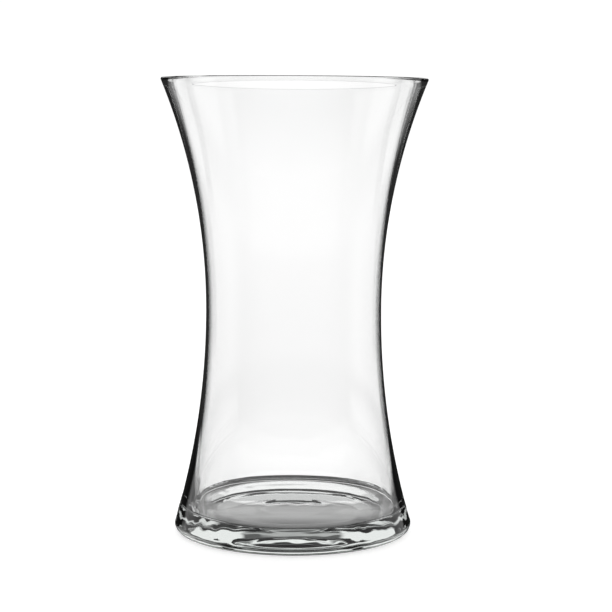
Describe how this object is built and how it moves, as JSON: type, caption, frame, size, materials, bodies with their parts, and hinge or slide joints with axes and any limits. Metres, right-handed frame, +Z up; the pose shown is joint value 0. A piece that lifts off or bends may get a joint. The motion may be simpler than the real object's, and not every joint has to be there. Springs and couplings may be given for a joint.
{
  "type": "flower vase",
  "caption": "Tall clear glass vase with a flared mouth, a narrow waist and a thick heavy foot, for cut flowers or bulbs in water.",
  "frame": {"origin": "centre of the resting ring, on the table", "axes": "+Z up along the axis that the vase was turned about; the vase is round, so +X and +Y are free"},
  "size_m": [0.1456, 0.1456, 0.25],
  "materials": {
    "clear_glass": "clear colourless soda-lime glass, fire-polished all over"
  },
  "bodies": {
    "root": {"blown_body": "clear_glass", "heavy_foot": "clear_glass"}
  },
  "joints": []
}
